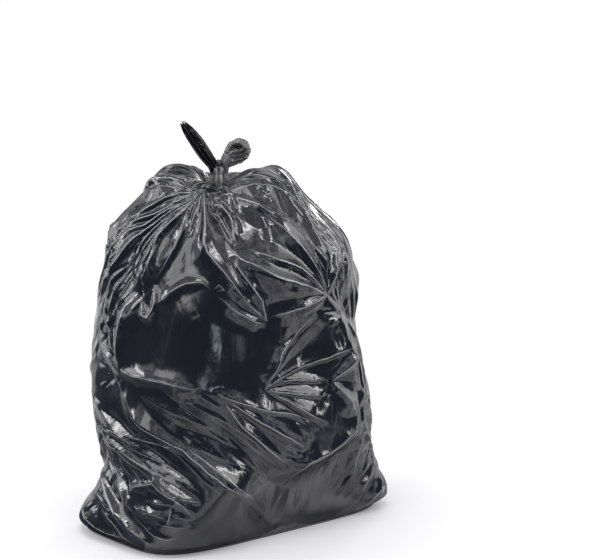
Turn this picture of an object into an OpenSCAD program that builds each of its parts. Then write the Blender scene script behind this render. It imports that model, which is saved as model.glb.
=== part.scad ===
// A full refuse sack of polythene film, standing on its bottom seam, with its mouth gathered and tied.
// It is lofted through named sections from the floor to the neck. Lumps of the contents push the film
// out, and its slack swells, folds and creases along lines that are laid out on the flat film. Azimuth 0
// is along the bottom seam, +X, and azimuths run anticlockwise seen from above. "up" is a share of the
// film's way from the floor (0) to the neck (1). Millimetres.

/* [Floor patch and foot] */
// Length of the flat patch on the floor, along the bottom seam
floor_length = 464; // [430:2:476]
// Depth of the flat patch on the floor
floor_depth = 268; // [230:2:280]
// Length of the foot, just above the floor
foot_length = 486; // [480:2:560]
// Depth of the foot
foot_depth = 294; // [286:2:340]
// Height of the foot's widest line
foot_height = 26; // [18:1:40]

/* [Waist and belly] */
// Length across the waist, above the foot
waist_length = 440; // [400:2:480]
// Depth of the waist
waist_depth = 336; // [290:2:380]
// Height of the waist
waist_height = 130; // [100:2:160]
// Length across the belly
belly_length = 426; // [380:2:470]
// Depth of the belly
belly_depth = 362; // [310:2:420]
// Height of the belly
belly_height = 308; // [260:2:340]

/* [Chest, shoulder and crown] */
// Length across the chest
chest_length = 380; // [330:2:430]
// Depth of the chest
chest_depth = 328; // [280:2:370]
// Drop from the crown to the chest
chest_drop = 121; // [100:1:150]
// Length across the shoulders
shoulder_length = 270; // [240:2:320]
// Depth of the shoulders
shoulder_depth = 232; // [200:2:270]
// Drop from the crown to the shoulders
shoulder_drop = 36; // [26:1:50]
// Length across the crown, the high rim round the knot
crown_length = 176; // [140:2:210]
// Depth of the crown
crown_depth = 140; // [110:2:170]
// Height of the crown above the floor
crown_height = 561; // [480:1:660]
// How far the crown sinks in front of the knot and behind it
crown_saddle = 27; // [10:1:45]

/* [Neck and knot] */
// Diameter of the gathered neck where the knot grips it
neck_diameter = 34; // [28:1:44]
// Drop from the crown to the neck
neck_drop = 26; // [15:1:40]
// How far the neck stands off the middle of the floor patch, along the seam
neck_lean_along = -22; // [-30:1:0]
// How far the neck stands off the middle of the floor patch, across the seam
neck_lean_across = 17; // [0:1:25]
// Direction that the saddle and the knot face
face_azimuth = 232; // [200:1:260]
// Height of the knot's pleated collar
knot_height = 36; // [28:1:46]
// Number of pleats round the collar
knot_pleats = 11; // [9:1:14]
// Thickness of one pleat
knot_pleat_size = 10; // [8:0.5:13]

/* [Ears] */
// Length of the flat ear from the knot to its tip
ear_length = 88; // [70:1:110]
// Width of the flat ear
ear_width = 24; // [18:1:32]
// Thickness of the flat ear's rolled film
ear_thickness = 9; // [7:0.5:13]
// Angle that the flat ear leans from upright
ear_lean = 37; // [20:1:50]
// Height to which the curled ear rises above the knot
curl_height = 34; // [26:1:42]
// Reach of the curled ear, sideways from the knot
curl_reach = 40; // [32:1:48]
// Width of the curled ear's bunch
curl_width = 30; // [23:1:37]

/* [Film] */
// Height of a full lump of the contents
lump_height = 10; // [6:0.5:14]
// Reach of a full lump, along the film
lump_reach = 100; // [70:5:120]
// Height of the film's slowest swell
swell_size = 9; // [4:0.5:12]
// How far the film lies inside the loft where nothing lifts it
slack = 3; // [0:0.5:6]
// Height of a full fold's crest above the film beside it
fold_height = 20; // [12:0.5:24]
// Reach of a full fold's flanks
fold_flank = 30; // [22:1:38]
// Height of a full crease's crest
crease_height = 10; // [5:0.5:13]
// Reach of a full crease's flanks
crease_flank = 20; // [14:1:26]
// How round a crest is, as the radius of its top
crest_radius = 3; // [2:0.5:6]
// Number of folds spread over the side away from the face
back_fold_count = 34; // [16:1:40]
// Number of gathers round the neck
gather_count = 19; // [12:1:26]

/* [Hidden] */

film_black = [0.05, 0.05, 0.06];
film_sheen = [0.22, 0.22, 0.23];

ring_points = 104;
rings = 44;
swell_count = 26;
tube_sides = 14;
sphere_facets = 10;

// How deep the ears' pleats are, as a share of their width, and how far the ears twist
ear_pleat = 0.14;
ear_twist = 20;
curl_pleat = 0.17;
curl_twist = 50;

neck_height = crown_height - neck_drop;

// Each section: height, length, depth, squareness, shares of the neck's two leans, share of the saddle
function at(height, length, depth, squareness, along, across, saddle) =
    [height, length / 2, depth / 2, squareness, along * neck_lean_along, across * neck_lean_across, saddle];
SECTIONS = [
    at(0, floor_length, floor_depth, 4.6, 0, 0, 0),
    at(foot_height, foot_length, foot_depth, 4, 0, 0, 0),
    at(waist_height, waist_length, waist_depth, 2.7, -0.05, 0.06, 0),
    at(belly_height, belly_length, belly_depth, 2.5, 0.32, 0.3, 0),
    at(crown_height - chest_drop, chest_length, chest_depth, 2.3, 0.32, 0.35, 0),
    at(crown_height - shoulder_drop, shoulder_length, shoulder_depth, 2.1, 0.5, 0.47, 0.35),
    at(crown_height, crown_length, crown_depth, 2, 0.77, 0.76, 1),
    at(neck_height, neck_diameter, neck_diameter, 2, 1, 1, 0)
];
LAST = len(SECTIONS) - 1;

function mean_radius(s) = (s[1] + s[2]) / 2;
function chord(i) = norm([
    mean_radius(SECTIONS[i + 1]) - mean_radius(SECTIONS[i]),
    SECTIONS[i + 1][0] - SECTIONS[i][0]
]);
function way(i) = i == 0 ? 0 : way(i - 1) + chord(i - 1);
film_way = way(LAST);
UPS = [for (i = [0 : LAST]) way(i) / film_way];

// A degree of azimuth on the flat film, which has the belly's girth
mm_per_degree = 0.96 * (belly_length + belly_depth) / 4 * PI / 180;
turn_way = 360 * mm_per_degree;
// Girth radius above which folds have their full height
full_radius = 0.71 * (belly_length + belly_depth) / 4;

// Lumps of the contents: azimuth, up, and shares of lump_height and of lump_reach, across and upward
LUMPS = [
    [150, 0.14, -2.5, 0.56, 0.42],
    [156, 0.02, 1, 0.64, 0.4],
    [334, 0.08, 0.8, 0.9, 0.7],
    [326, 0.2, 1.5, 0.7, 0.6],
    [326, 0.03, 0.8, 0.44, 0.3],
    [320, 0.5, -0.8, 0.9, 0.6],
    [322, 0.78, -0.8, 0.8, 0.55],
    [142, 0.79, -1.2, 0.6, 0.42],
    [140, 0.63, -0.4, 0.9, 0.6],
    [222, 0.46, 0.7, 1.1, 0.8],
    [290, 0.24, 0.6, 1, 0.6],
    [20, 0.35, 0.9, 1.2, 0.9],
    [70, 0.55, 0.8, 1.1, 0.8],
    [100, 0.25, 1, 1.1, 0.7],
    [45, 0.12, 0.7, 1.2, 0.5],
    [322, 0.66, 1.2, 0.6, 0.8],
    [148, 0.93, 0.4, 0.6, 0.36],
    [322, 0.88, 0.9, 0.5, 0.3],
    [150, 0.32, -0.6, 0.6, 0.5],
    [58, 0.94, 1.9, 0.9, 0.45],
    [336, 0.95, -0.9, 0.6, 0.4]
];

// Broad folds: shares of fold_height and fold_flank, lean of the flanks to the left of the line, and
// the line's places, each an azimuth and an up
FRONT_FOLDS = [
    // From the left end to the foot, and across under the belly
    [1.35, 1.53, 0.45, [[184, 0.39], [190, 0.345], [203, 0.28], [218, 0.21], [236, 0.12], [250, 0.07]]],
    [0.4, 1, 0.3, [[190, 0.4], [212, 0.385], [236, 0.345], [252, 0.3], [262, 0.24]]],
    // Above the smooth flank on the right
    [1, 1.4, 0.45, [[240, 0.13], [262, 0.17], [285, 0.19], [303, 0.235], [320, 0.29]]],
    // Over the foot, and its lip
    [0.95, 1, 0.4, [[160, 0.26], [182, 0.235], [204, 0.18], [220, 0.1]]],
    [0.6, 0.73, 0.3, [[158, 0.13], [176, 0.1], [192, 0.07], [206, 0.02]]],
    // Between the belly's pinched points and the right end
    [0.5, 0.8, 0.2, [[232, 0.36], [250, 0.3], [272, 0.225], [284, 0.2]]],
    [0.6, 1, 0, [[289, 0.56], [300, 0.47], [303, 0.36], [312, 0.28]]],
    // The leaf-shaped facet below the knot, and the film under it
    [0.75, 1.07, -0.2, [[287, 0.56], [262, 0.575], [240, 0.64], [226, 0.74]]],
    [0.6, 0.87, 0.2, [[252, 0.52], [236, 0.6], [226, 0.7], [222, 0.8]]],
    // The gathers on the left
    [0.7, 1.13, 0, [[170, 0.86], [166, 0.72], [174, 0.6], [184, 0.52], [187, 0.43]]],
    [0.65, 1, 0, [[212, 0.84], [202, 0.72], [196, 0.62], [198, 0.55]]],
    // The two shoulders
    [0.7, 0.87, 0, [[212, 0.9], [182, 0.885], [158, 0.84], [140, 0.78]]],
    [0.75, 0.93, 0, [[238, 0.9], [262, 0.885], [284, 0.86], [302, 0.8], [316, 0.72]]],
    [0.6, 0.93, 0, [[240, 0.84], [262, 0.77], [284, 0.68], [298, 0.58]]],
    [0.45, 1, 0, [[264, 0.53], [258, 0.46], [250, 0.38]]],
    // Hollows beside the leaf, under the knot, on the left and in the shoulders
    [-0.45, 0.8, 0, [[276, 0.5], [262, 0.47], [250, 0.44]]],
    [-0.6, 0.73, 0, [[228, 0.8], [232, 0.74], [246, 0.7]]],
    [-0.5, 0.8, 0, [[186, 0.72], [180, 0.62], [178, 0.5]]],
    [-0.5, 0.8, 0, [[208, 0.85], [190, 0.79], [176, 0.7]]],
    [-0.6, 0.73, 0, [[270, 0.8], [284, 0.73], [294, 0.64]]],
    [-0.5, 0.8, 0, [[300, 0.6], [310, 0.52], [308, 0.42]]]
];

// The k-th of a series of even but unrelated values from 0 to 1
function golden(k, share) = k * share - floor(k * share);

// Folds on the side that doesn't show
back_from = 330;
back_span = 185;
BACK_FOLDS = [
    for (k = [1 : back_fold_count])
        let (
            azimuth = back_from + back_span * golden(k, 0.618034),
            up = 0.08 + 0.77 * golden(k, 0.754878),
            turn = 24 * sin(97 * k)
        )
        [
            0.4 + 0.45 * golden(k, 0.324718),
            0.67 + 0.47 * golden(k, 0.56984),
            0.4 * sin(61 * k),
            [[azimuth - turn, up - 0.13], [azimuth + 4 * cos(71 * k), up], [azimuth + turn, up + 0.13]]
        ]
];

// Main creases, laid over the folds: shares of crease_height and crease_flank, no lean, and the line
CREASES = [
    // Down from the knot
    [1.3, 0.9, 0, [[221, 0.9], [222, 0.7], [228, 0.63], [242, 0.55], [249, 0.525]]],
    [1, 0.9, 0, [[218, 0.88], [172, 0.71], [166, 0.55]]],
    [1, 0.8, 0, [[219, 0.88], [194, 0.69], [186, 0.585]]],
    [1.1, 0.8, 0, [[219, 0.88], [196, 0.68], [196, 0.63], [200, 0.55]]],
    [1.1, 0.9, 0, [[220, 0.88], [210, 0.7], [204, 0.64], [199, 0.57]]],
    [0.8, 0.8, 0, [[219, 0.88], [185, 0.82], [164, 0.74]]],
    [1.1, 0.6, 0, [[226, 0.86], [232, 0.79], [236, 0.73], [234, 0.65]]],
    // The leaf's edges, from its tip and its foot
    [1.2, 1, 0, [[290, 0.555], [254, 0.61], [232, 0.672]]],
    [1.1, 0.9, 0, [[290, 0.56], [268, 0.63], [255, 0.65], [236, 0.7]]],
    [1.1, 0.9, 0, [[290, 0.556], [259, 0.53], [249, 0.522]]],
    [1, 0.9, 0, [[289, 0.55], [276, 0.66], [262, 0.74], [248, 0.82]]],
    [0.9, 0.9, 0, [[291, 0.55], [303, 0.65], [302, 0.77]]],
    [1, 0.9, 0, [[252, 0.51], [248, 0.56], [240, 0.61], [230, 0.68]]],
    // From the left end
    [1.1, 1, 0, [[188, 0.35], [196, 0.31], [214, 0.25], [228, 0.17], [244, 0.1]]],
    [0.8, 0.9, 0, [[185, 0.405], [208, 0.395], [228, 0.37]]],
    [1.1, 0.9, 0, [[185, 0.4], [184, 0.46], [187, 0.53], [186, 0.6]]],
    // From the pinched points
    [1, 0.9, 0, [[226, 0.37], [248, 0.32], [264, 0.3], [278, 0.262]]],
    [1, 0.7, 0, [[227, 0.37], [246, 0.29], [268, 0.22], [274, 0.185]]],
    [1, 0.7, 0, [[227, 0.37], [236, 0.29], [248, 0.23], [265, 0.16]]],
    [1, 1, 0, [[246, 0.368], [257, 0.4], [278, 0.43], [314, 0.462]]],
    [1, 0.9, 0, [[247, 0.365], [260, 0.45], [283, 0.54]]],
    [0.9, 0.8, 0, [[246, 0.37], [257, 0.38], [292, 0.36]]],
    [0.9, 0.7, 0, [[246, 0.366], [261, 0.33], [274, 0.29], [286, 0.26]]],
    [1, 0.9, 0, [[288, 0.355], [314, 0.44]]],
    [1, 0.9, 0, [[288, 0.365], [317, 0.258]]],
    [1, 1.1, 0, [[318, 0.265], [303, 0.22], [285, 0.19], [260, 0.16]]],
    // The shoulders
    [1, 0.9, 0, [[234, 0.87], [258, 0.865], [280, 0.845], [300, 0.77]]],
    [1, 0.8, 0, [[146, 0.79], [172, 0.86], [196, 0.885], [214, 0.88]]],
    // The foot on the left
    [0.9, 0.8, 0, [[158, 0.11], [168, 0.05], [182, 0.035], [196, 0.03]]],
    [0.9, 0.7, 0, [[200, 0.31], [220, 0.22], [234, 0.16]]],
    [0.9, 0.7, 0, [[208, 0.29], [226, 0.2], [246, 0.09]]]
];

// Gathers run down from the neck all the way round, longer and shorter by turns
GATHERS = [
    for (k = [1 : gather_count])
        let (
            azimuth = face_azimuth + (k + 0.5 * golden(k, 0.618034)) * 360 / gather_count,
            reach = 0.2 + 0.22 * golden(k, 0.754878)
        )
        [0.7, 0.6, 0, [[azimuth, 1], [azimuth + 8 * golden(k, 0.324718) - 4, 1 - reach]]]
];

// Straight stretches of lines: start and end on the flat film, the shares of the line's length there,
// height, flank and lean
function place(p) = [p[0] * mm_per_degree, p[1] * film_way];
function run_to(line, i) = i == 0 ? 0 : run_to(line, i - 1) + norm(place(line[i]) - place(line[i - 1]));
function stretches(lines, height, flank) = [
    for (l = lines)
        let (line = l[3], whole = run_to(line, len(line) - 1))
        for (i = [0 : len(line) - 2])
            [
                place(line[i]), place(line[i + 1]),
                run_to(line, i) / whole, run_to(line, i + 1) / whole,
                l[0] * height, l[1] * flank, l[2]
            ]
];
FOLD_LINES = stretches(concat(FRONT_FOLDS, BACK_FOLDS), fold_height, fold_flank);
CREASE_LINES = stretches(concat(CREASES, GATHERS), crease_height, crease_flank);

function clamp(x, low, high) = min(max(x, low), high);
function smooth(t) = let (c = clamp(t, 0, 1)) c * c * (3 - 2 * c);
function wrap(angle) = angle - 360 * round(angle / 360);
function total(list) = len(list) == 0 ? 0 : list * [for (x = list) 1];

// Smooth interpolation through the sections
function slope(i) =
    let (low = max(i - 1, 0), high = min(i + 1, LAST))
    (SECTIONS[high] - SECTIONS[low]) / (UPS[high] - UPS[low]);
function span_of(up) = max([for (i = [0 : LAST - 1]) if (up >= UPS[i]) i]);
function section(up) =
    let (
        i = span_of(up),
        width = UPS[i + 1] - UPS[i],
        t = (up - UPS[i]) / width
    )
    (2 * t ^ 3 - 3 * t ^ 2 + 1) * SECTIONS[i]
    + (t ^ 3 - 2 * t ^ 2 + t) * width * slope(i)
    + (3 * t ^ 2 - 2 * t ^ 3) * SECTIONS[i + 1]
    + (t ^ 3 - t ^ 2) * width * slope(i + 1);

// Which way the film faces at a height, as shares outward and upward
function facing(up) =
    let (
        low = section(max(up - 0.01, 0)),
        high = section(min(up + 0.01, 1)),
        along = [mean_radius(high) - mean_radius(low), high[0] - low[0]]
    )
    [along[1], -along[0]] / norm(along);

// The lift that a stretch gives a place on the flat film: sharp on its line and hollow on its flanks
function crest(x, y, f) =
    let (
        run = f[1] - f[0],
        out = [x - turn_way * round((x - (f[0].x + f[1].x) / 2) / turn_way), y] - f[0],
        t = clamp(out * run / (run * run), 0, 1),
        side = cross(run, out) < 0 ? -1 : 1,
        share = f[2] + (f[3] - f[2]) * t,
        rise = smooth(min(share, 1 - share) / 0.3),
        away = norm(concat(out - t * run, [crest_radius])) - crest_radius
    )
    f[4] * rise * exp(-away / (f[5] * (0.7 + 0.3 * rise) * (1 + f[6] * side)));

// Quick tests of whether a stretch comes near a height, and near a place along the girth
reach_factor = 3.2;
function level_with(y, f) =
    let (margin = reach_factor * f[5])
    y > min(f[0].y, f[1].y) - margin && y < max(f[0].y, f[1].y) + margin;
function beside(x, f) =
    let (middle_x = (f[0].x + f[1].x) / 2, away = x - middle_x - turn_way * round((x - middle_x) / turn_way))
    abs(away) < abs(f[1].x - f[0].x) / 2 + reach_factor * f[5];

// The highest crest and the deepest hollow of a set of lines at a place
function relief(x, y, lines) =
    let (crests = concat([0], [for (f = lines) if (beside(x, f)) crest(x, y, f)]))
    max(crests) + min(crests);

function lump(azimuth, up, radius, l) =
    let (
        x = wrap(l[0] - azimuth) * radius * PI / 180 / (l[3] * lump_reach),
        y = (l[1] - up) * film_way / (l[4] * lump_reach)
    )
    l[2] * lump_height * exp(-x * x - y * y);

// Slow rises and hollows of the loosely filled film
function swell(x, y) = total([
    for (k = [1 : swell_count])
        let (turns = 1 + k % 8, pitch = 10 * golden(k, 0.618034) - 5)
        swell_size / (2 + turns + abs(pitch))
            * cos(360 * (turns * x / turn_way + pitch * y / film_way) + 360 * golden(k, 0.754878))
]);

function film_point(azimuth, up, s, out, folds, creases, lumps) =
    let (
        c = cos(azimuth),
        d = sin(azimuth),
        radius = (pow(abs(c) / s[1], s[3]) + pow(abs(d) / s[2], s[3])) ^ (-1 / s[3]),
        sag = s[6] * crown_saddle * cos(azimuth - face_azimuth) ^ 2,
        girth = mean_radius(s),
        x = azimuth * mm_per_degree,
        y = up * film_way,
        lift = swell(x, y) + relief(x, y, folds) + relief(x, y, creases),
        push = (total([for (l = lumps) lump(azimuth, up, girth, l)]) - slack
            + lift * pow(min(girth / full_radius, 1), 0.8)) * smooth(up / 0.04) * smooth((1 - up) / 0.02)
    )
    [
        s[4] + (radius + push * out[0]) * c,
        s[5] + (radius + push * out[0]) * d,
        max(0, s[0] - sag + push * out[1])
    ];

film_rings = [
    for (i = [0 : rings - 1])
        let (
            up = 1 - (1 - i / (rings - 1)) ^ 1.2,
            s = section(up),
            out = facing(up),
            folds = [for (f = FOLD_LINES) if (level_with(up * film_way, f)) f],
            creases = [for (f = CREASE_LINES) if (level_with(up * film_way, f)) f],
            lumps = [for (l = LUMPS) if (abs(l[1] - up) * film_way < 2.5 * l[4] * lump_reach) l]
        )
        [for (j = [0 : ring_points - 1]) film_point(j * 360 / ring_points, up, s, out, folds, creases, lumps)]
];
film_points = [for (ring = film_rings) each ring];

xs = [for (p = film_points) p.x];
ys = [for (p = film_points) p.y];
middle = [(min(xs) + max(xs)) / 2, (min(ys) + max(ys)) / 2, 0];
knot_foot = [SECTIONS[LAST][4], SECTIONS[LAST][5], neck_height];

// Faces of a tube of rings with closed ends, first ring lowest
function tube_faces(count, sides) = concat(
    [[for (j = [0 : sides - 1]) j]],
    [[for (j = [sides - 1 : -1 : 0]) (count - 1) * sides + j]],
    [for (i = [0 : count - 2]) for (j = [0 : sides - 1])
        [i * sides + j, (i + 1) * sides + j, (i + 1) * sides + (j + 1) % sides]],
    [for (i = [0 : count - 2]) for (j = [0 : sides - 1])
        [i * sides + j, (i + 1) * sides + (j + 1) % sides, i * sides + (j + 1) % sides]]
);

// The film's faces: each square is halved along its prouder diagonal, so that crests stay sharp
function reach_of(p, q) = norm([(p.x + q.x) / 2 - knot_foot.x / 2, (p.y + q.y) / 2 - knot_foot.y / 2]);
film_faces = concat(
    [[for (j = [0 : ring_points - 1]) j]],
    [[for (j = [ring_points - 1 : -1 : 0]) (rings - 1) * ring_points + j]],
    [
        for (i = [0 : rings - 2]) for (j = [0 : ring_points - 1])
            let (
                k = (j + 1) % ring_points,
                a = i * ring_points + j,
                b = i * ring_points + k,
                c = a + ring_points,
                d = b + ring_points,
                rising = reach_of(film_points[a], film_points[d]) > reach_of(film_points[b], film_points[c])
            )
            each (rising ? [[a, c, d], [a, d, b]] : [[a, c, b], [b, c, d]])
    ]
);

module film_body() {
    color(film_black) polyhedron(film_points, film_faces, convexity = 6);
}

// A ring of bunched film across a spine: a flattened, pleated oval
function bunch_ring(centre, along, flat, width, thickness, pleat, turn) =
    let (
        third = cross(flat, along),
        wide = third / norm(third)
    )
    [for (j = [0 : tube_sides - 1])
        let (
            a = turn + j * 360 / tube_sides,
            swell = 1 + (j % 2 == 0 ? pleat : -pleat)
        )
        centre + wide * cos(a) * width / 2 * swell + flat * sin(a) * thickness / 2 * swell];

function bezier(p, t) =
    (1 - t) ^ 3 * p[0] + 3 * t * (1 - t) ^ 2 * p[1] + 3 * t ^ 2 * (1 - t) * p[2] + t ^ 3 * p[3];
function bezier_way(p, t) =
    let (step = bezier(p, min(t + 0.02, 1)) - bezier(p, max(t - 0.02, 0)))
    step / norm(step);

// Sideways to the right and straight towards the side that shows
right = [-sin(face_azimuth), cos(face_azimuth), 0];
front = [cos(face_azimuth), sin(face_azimuth), 0];
collar_top = knot_foot + [0, 0, knot_height - knot_pleat_size / 2];

module sweep(path, steps, widths, thicknesses, pleat, twist) {
    points = [
        for (i = [0 : steps])
            let (
                t = i / steps,
                w = lookup(t, widths),
                h = lookup(t, thicknesses)
            )
            each bunch_ring(bezier(path, t), bezier_way(path, t), front, w, h, pleat, twist * t)
    ];
    polyhedron(points, tube_faces(steps + 1, tube_sides), convexity = 6);
}

// The ear that stands up, a flat leaf of rolled film
module flat_ear() {
    root = collar_top - right * neck_diameter * 0.05 - [0, 0, knot_height * 0.4];
    tip = root + ear_length * (-right * sin(ear_lean) + [0, 0, 1] * cos(ear_lean))
        - front * ear_thickness * 0.67 + [0, 0, knot_height * 0.35];
    path = [
        root,
        root + [0, 0, ear_length * 0.3] - right * ear_width * 0.1,
        root * 0.35 + tip * 0.65 + right * ear_width * 0.12,
        tip
    ];
    color(film_black)
        sweep(
            path, 11,
            [[0, ear_width * 0.5], [0.3, ear_width * 0.62], [0.55, ear_width], [0.75, ear_width * 0.88],
                [0.92, ear_width * 0.5], [1, ear_width * 0.16]],
            [[0, ear_thickness * 1.5], [0.35, ear_thickness * 1.2], [0.8, ear_thickness * 0.7],
                [1, ear_thickness * 0.3]],
            ear_pleat, ear_twist
        );
}

// The ear that has curled over into a bunch
module curled_ear() {
    root = collar_top + right * neck_diameter * 0.08 - [0, 0, knot_height * 0.4];
    path = [
        root,
        root + right * curl_reach * 0.15 + [0, 0, knot_height * 0.4 + curl_height * 0.75],
        collar_top + right * curl_reach * 1.15 + [0, 0, curl_height * 1.5] + front * curl_reach * 0.1,
        collar_top + right * curl_reach * 0.62 + [0, 0, curl_height * 0.12] + front * curl_reach * 0.2
    ];
    color(film_sheen)
        sweep(
            path, 13,
            [[0, curl_width * 0.55], [0.3, curl_width * 0.6], [0.6, curl_width], [0.85, curl_width * 0.85],
                [1, curl_width * 0.3]],
            [[0, curl_width * 0.5], [0.5, curl_width * 0.7], [0.85, curl_width * 0.6], [1, curl_width * 0.25]],
            curl_pleat, curl_twist
        );
}

// The collar: pleats of gathered film that the knot holds upright
module knot() {
    core = neck_diameter - knot_pleat_size;
    ring_radius = core / 2;
    lift = [0, 0, knot_height - knot_pleat_size];
    color(film_sheen)
        translate(knot_foot) {
            translate([0, 0, -knot_pleat_size]) cylinder(d = core, h = knot_height, $fn = 2 * sphere_facets);
            for (i = [0 : knot_pleats - 1]) {
                turn = i * 360 / knot_pleats;
                arm = ring_radius * [cos(turn), sin(turn), 0];
                hull() {
                    translate(arm * 1.15) sphere(d = knot_pleat_size, $fn = sphere_facets);
                    translate(arm * 0.8 + lift * 0.55) sphere(d = knot_pleat_size * 1.1, $fn = sphere_facets);
                    translate(arm * 0.95 + lift) sphere(d = knot_pleat_size * 0.8, $fn = sphere_facets);
                    translate(lift * 0.5) sphere(d = knot_pleat_size, $fn = sphere_facets);
                }
            }
        }
}

module bin_bag() {
    translate(-middle) {
        film_body();
        knot();
        flat_ear();
        curled_ear();
    }
}

bin_bag();
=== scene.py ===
"""Looks of the full, tied refuse sack: its creased film, the knot, the two ears and a plain studio.

The film is a fine grid over the sack's own loft. A place on it is an azimuth in degrees, as seen from
above and counted anticlockwise from +X, and an "up", the share of the way from the floor to the neck.
Lengths are millimetres until a mesh is made. The camera and the studio are in metres.
"""

import bpy
import numpy as np
from mathutils import Matrix, Vector


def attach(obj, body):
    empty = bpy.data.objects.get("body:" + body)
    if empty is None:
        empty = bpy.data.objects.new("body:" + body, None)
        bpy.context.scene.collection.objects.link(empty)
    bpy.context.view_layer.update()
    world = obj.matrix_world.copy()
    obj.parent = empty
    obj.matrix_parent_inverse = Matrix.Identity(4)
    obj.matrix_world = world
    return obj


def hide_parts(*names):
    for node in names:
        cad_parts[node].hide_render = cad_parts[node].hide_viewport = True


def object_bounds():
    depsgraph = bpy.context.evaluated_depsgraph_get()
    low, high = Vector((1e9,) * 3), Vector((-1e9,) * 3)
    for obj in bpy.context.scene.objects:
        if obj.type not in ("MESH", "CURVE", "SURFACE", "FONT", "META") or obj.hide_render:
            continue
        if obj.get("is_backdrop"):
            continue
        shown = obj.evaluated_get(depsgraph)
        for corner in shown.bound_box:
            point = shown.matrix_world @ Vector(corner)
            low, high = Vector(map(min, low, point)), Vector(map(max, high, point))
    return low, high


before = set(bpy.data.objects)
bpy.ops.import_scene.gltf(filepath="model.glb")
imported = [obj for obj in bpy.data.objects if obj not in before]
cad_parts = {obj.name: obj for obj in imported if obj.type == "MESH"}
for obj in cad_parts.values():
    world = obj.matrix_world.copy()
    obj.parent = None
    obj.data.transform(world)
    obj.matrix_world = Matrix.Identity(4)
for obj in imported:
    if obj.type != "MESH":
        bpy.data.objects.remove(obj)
cad_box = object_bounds()

# The sack's loft
# Each section: height, half length, half depth, squareness, lean along, lean across, share of saddle
SECTIONS = np.array([
    [0, 232, 134, 4.6, 0, 0, 0],
    [26, 243, 147, 4, 0, 0, 0],
    [130, 220, 168, 2.7, 1, 1, 0],
    [308, 213, 181, 2.5, -7, 5, 0],
    [440, 190, 164, 2.3, -7, 6, 0],
    [525, 135, 116, 2.1, -11, 8, 0.35],
    [561, 88, 70, 2, -17, 13, 1],
    [535, 17, 17, 2, -22, 17, 0],
])
MIDDLE = np.array([-3.1, 6, 0])
FACE_AZIMUTH = 232
CROWN_SADDLE = 27
SWELLS = 26
SWELL_SIZE = 9
BACK_FOLDS = 34
LONG_GATHERS = 19
SLACK = 3
NECK = np.array([-22, 17, 535.0])

mean_radii = (SECTIONS[:, 1] + SECTIONS[:, 2]) / 2
chords = np.hypot(np.diff(mean_radii), np.diff(SECTIONS[:, 0]))
FILM_WAY = chords.sum()
UPS = np.concatenate([[0], np.cumsum(chords)]) / FILM_WAY

# A degree of azimuth in the film's flat layout
MM_PER_DEGREE = 3.3


def interpolate(places, values, at):
    """Values on a smooth curve through the given values at rising places."""
    i = np.clip(np.searchsorted(places, at, side="right") - 1, 0, len(places) - 2)
    low = np.maximum(np.arange(len(places)) - 1, 0)
    high = np.minimum(np.arange(len(places)) + 1, len(places) - 1)
    slopes = ((values[high] - values[low]).T / (places[high] - places[low])).T
    width = places[i + 1] - places[i]
    t = (at - places[i]) / width
    parts = (
        (2 * t**3 - 3 * t**2 + 1, values[i]),
        ((t**3 - 2 * t**2 + t) * width, slopes[i]),
        (3 * t**2 - 2 * t**3, values[i + 1]),
        ((t**3 - t**2) * width, slopes[i + 1]),
    )
    return sum((share * part.T).T for share, part in parts)


def section(up):
    """The loft's sections at an array of ups."""
    return interpolate(UPS, SECTIONS, np.clip(up, 0, 1))


def smooth(t):
    t = np.clip(t, 0, 1)
    return t * t * (3 - 2 * t)


def wrap(angle):
    return angle - 360 * np.round(angle / 360)


# Shares whose multiples spread evenly over one turn and don't fall in step with each other
SERIES = (0.618034, 0.754878, 0.324718, 0.56984)


def even(k, series):
    """The k-th of a series of even but unrelated values from 0 to 1."""
    return (k * SERIES[series]) % 1


def either_way(rng, share):
    """1 in this share of the cases and -1 in the others."""
    return 1 if rng.random() < share else -1


# Lumps of the contents: azimuth, up, height, half width, half height
LUMPS = [
    (150, 0.14, -25, 56, 42),
    (156, 0.02, 10, 64, 40),
    (334, 0.08, 8, 90, 70),
    (326, 0.2, 15, 70, 60),
    (326, 0.03, 8, 44, 30),
    (320, 0.5, -8, 90, 60),
    (322, 0.78, -8, 80, 55),
    (142, 0.79, -12, 60, 42),
    (140, 0.63, -4, 90, 60),
    (222, 0.46, 7, 110, 80),
    (290, 0.24, 6, 100, 60),
    (20, 0.35, 9, 120, 90),
    (70, 0.55, 8, 110, 80),
    (100, 0.25, 10, 110, 70),
    (45, 0.12, 7, 120, 50),
    (322, 0.66, 12, 60, 80),
    (148, 0.93, 4, 60, 36),
    (322, 0.88, 9, 50, 30),
    (150, 0.32, -6, 60, 50),
    (58, 0.94, 19, 90, 45),
    (336, 0.95, -9, 60, 40),
]

# The film's grid, finer on the side that shows and a little finer towards the neck
COLUMNS_SHOWN = 262
COLUMNS_BEHIND = 120
ROWS = 258
ROW_EASE = 1.15
SHOWN_FROM = 150
SHOWN_TO = 335
azimuths = np.concatenate([
    np.linspace(SHOWN_FROM, SHOWN_TO, COLUMNS_SHOWN, endpoint=False),
    np.linspace(SHOWN_TO, SHOWN_FROM + 360, COLUMNS_BEHIND, endpoint=False),
])
COLUMNS = len(azimuths)
ups = 1 - (1 - np.linspace(0, 1, ROWS)) ** ROW_EASE
row_v = ups * FILM_WAY
column_u = azimuths * MM_PER_DEGREE
TURN = 360 * MM_PER_DEGREE

# Points of the film where it is gathered or pinched, and so where creases start
KNOT = (217.5, 0.88)
PINCH_1 = (228, 0.365)
PINCH_2 = (248, 0.37)
PINCH_3 = (290, 0.36)
LEAF_TIP = (287, 0.56)
LEAF_FOOT = (250, 0.52)

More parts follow.
